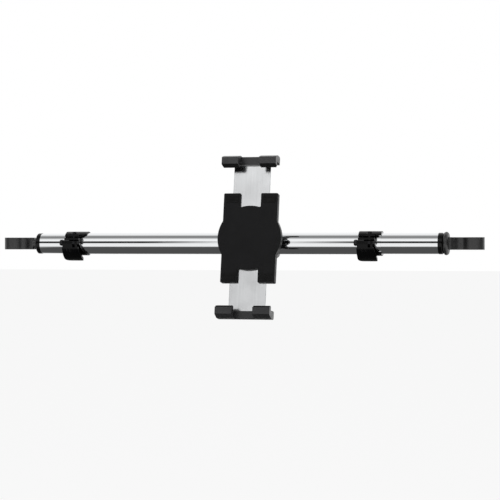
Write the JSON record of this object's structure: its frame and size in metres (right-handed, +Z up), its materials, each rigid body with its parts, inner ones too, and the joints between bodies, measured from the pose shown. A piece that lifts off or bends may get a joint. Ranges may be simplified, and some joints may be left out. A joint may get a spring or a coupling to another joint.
{
  "type": "headrest tablet mount",
  "caption": "Telescopic chrome pole with hooks for two headrest posts, flip clamps and a sliding, tilting and turning holder whose sprung jaws grip a tablet.",
  "frame": {"origin": "on the axis of the left headrest post, at the height of the pole's axis", "axes": "+X along the pole from the left hook to the right hook, +Y away from the user towards the seat in front, +Z up along the posts"},
  "size_m": [0.6526, 0.0997, 0.2112],
  "materials": {
    "tube": "polished",
    "arm": "bright drawn strip",
    "hook": "fine grain, black",
    "plug": "gloss, black",
    "clamp": "fine grain, black",
    "lever": "satin, black",
    "pin": "black",
    "bush": "smooth, black",
    "carriage": "fine grain, black",
    "cover": "fine grain, black",
    "jaw": "fine grain, dark grey",
    "rubber": "matt, black",
    "washer": "natural, low friction",
    "pinion": "natural",
    "fastener": "zinc plated"
  },
  "bodies": {
    "left_hook": {"left_hook": "hook", "left_hook_liner": "rubber", "left_swivel_bolt": "fastener"},
    "left_tube": {"left_tube": "tube", "left_end_plug": "plug", "left_guide_bush": "bush"},
    "center_tube": {"center_tube": "tube", "left_clamp_collar": "clamp", "left_clamp_pin": "pin", "left_clamp_bolt": "fastener", "right_clamp_collar": "clamp", "right_clamp_pin": "pin", "right_clamp_bolt": "fastener"},
    "left_lever": {"left_clamp_lever": "lever"},
    "right_lever": {"right_clamp_lever": "lever"},
    "right_tube": {"right_tube": "tube", "right_end_plug": "plug", "right_guide_bush": "bush"},
    "right_hook": {"right_hook": "hook", "right_hook_liner": "rubber", "right_swivel_bolt": "fastener"},
    "pole_bush": {"pole_bush": "bush"},
    "carriage": {"carriage_front": "carriage", "carriage_rear": "carriage", "carriage_screws": "fastener", "friction_washer": "washer", "swivel_bolt": "fastener", "swivel_nut": "fastener"},
    "holder": {"holder_front": "cover", "holder_rear": "cover", "holder_screws": "fastener", "front_pads": "rubber", "upper_spring": "fastener", "lower_spring": "fastener"},
    "upper_jaw": {"upper_arm": "arm", "upper_jaw": "jaw", "upper_jaw_pads": "rubber", "upper_jaw_screws": "fastener"},
    "lower_jaw": {"lower_arm": "arm", "lower_jaw": "jaw", "lower_jaw_pads": "rubber", "lower_jaw_screws": "fastener"},
    "pinion": {"pinion": "pinion"}
  },
  "joints": [
    {"name": "left_hook_swivel", "type": "hinge", "parent": "left_hook", "child": "left_tube", "pos_m": [0.0407, -0.0075, 0], "axis": [1, 0, 0], "range_deg": [-90, 90]},
    {"name": "left_pole_slide", "type": "slide", "parent": "left_tube", "child": "center_tube", "axis": [1, 0, 0], "range_m": [-0.03, 0.09]},
    {"name": "left_lever_flip", "type": "hinge", "parent": "center_tube", "child": "left_lever", "pos_m": [0.0942, -0.02755, 0.001], "axis": [-1, 0, 0], "range_deg": [0, 100]},
    {"name": "right_lever_flip", "type": "hinge", "parent": "center_tube", "child": "right_lever", "pos_m": [0.4937, -0.02755, 0.001], "axis": [-1, 0, 0], "range_deg": [0, 100]},
    {"name": "right_pole_slide", "type": "slide", "parent": "center_tube", "child": "right_tube", "axis": [1, 0, 0], "range_m": [-0.07, 0.05]},
    {"name": "right_hook_swivel", "type": "hinge", "parent": "right_tube", "child": "right_hook", "pos_m": [0.5899, -0.0075, 0], "axis": [1, 0, 0], "range_deg": [-90, 90]},
    {"name": "carriage_slide", "type": "slide", "parent": "center_tube", "child": "pole_bush", "axis": [1, 0, 0], "range_m": [-0.19, 0.085]},
    {"name": "carriage_tilt", "type": "hinge", "parent": "pole_bush", "child": "carriage", "pos_m": [0.3442, -0.0075, 0], "axis": [1, 0, 0], "range_deg": [-60, 60]},
    {"name": "holder_spin", "type": "hinge", "parent": "carriage", "child": "holder", "pos_m": [0.3442, -0.0075, 0], "axis": [0, -0.9833, 0.1822], "continuous": true},
    {"name": "upper_jaw_slide", "type": "slide", "parent": "holder", "child": "upper_jaw", "axis": [0, 0.1822, 0.9833], "range_m": [-0.028, 0.02], "deforming": ["upper_spring"]},
    {"name": "lower_jaw_slide", "type": "slide", "parent": "holder", "child": "lower_jaw", "axis": [0, -0.1822, -0.9833], "range_m": [-0.028, 0.02], "deforming": ["lower_spring"]},
    {"name": "pinion_turn", "type": "hinge", "parent": "holder", "child": "pinion", "pos_m": [0.3442, -0.0075, 0], "axis": [0, -0.9833, 0.1822], "range_deg": [-165, 120]}
  ],
  "couplings": [
    {"joint": "lower_jaw_slide", "follows": "upper_jaw_slide", "ratio": 1},
    {"joint": "pinion_turn", "follows": "upper_jaw_slide", "rad_per_m": 100}
  ]
}
